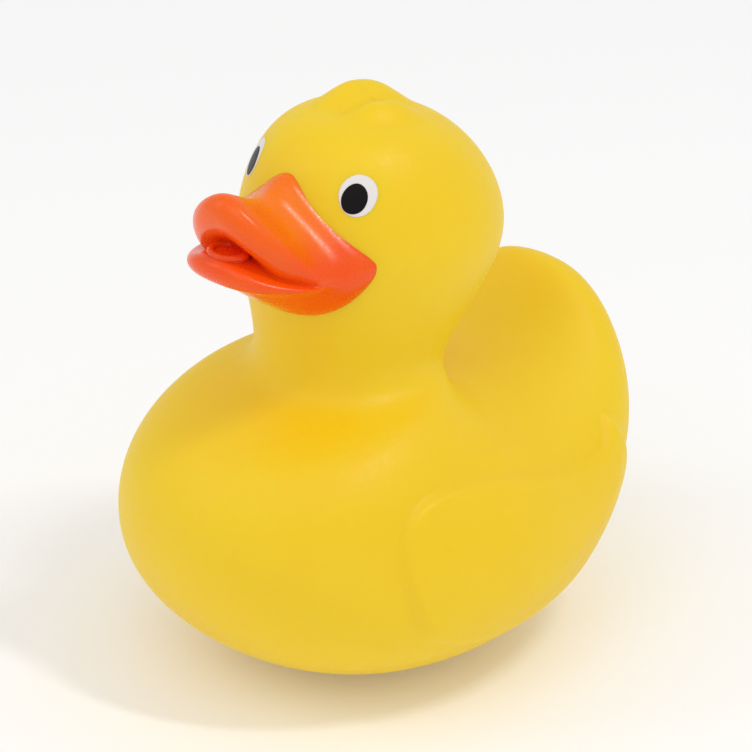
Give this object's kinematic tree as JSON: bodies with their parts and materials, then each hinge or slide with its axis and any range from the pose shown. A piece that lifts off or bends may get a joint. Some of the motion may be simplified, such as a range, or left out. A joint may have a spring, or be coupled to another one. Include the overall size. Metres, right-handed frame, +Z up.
{
  "type": "rubber duck",
  "caption": "Hollow vinyl bath duck with a flared open bill, printed eyes, curled crown tuft and low relief wings, standing on a flat base that holds a squeaker.",
  "frame": {"origin": "bottom centre of the bounding box, on the flat base", "axes": "+Z up, -Y the way the duck faces, +X towards the duck's left side"},
  "size_m": [0.0664, 0.0808, 0.0841],
  "materials": {
    "yellow_vinyl": "soft matte",
    "orange_paint": "semi-gloss",
    "eye_white": "semi-gloss",
    "eye_black": "semi-gloss",
    "white_plastic": "satin",
    "brass": "satin"
  },
  "bodies": {
    "root": {"duck_shell": "yellow_vinyl", "squeaker_body": "white_plastic", "squeaker_insert": "white_plastic", "squeaker_reed": "brass"}
  },
  "joints": []
}
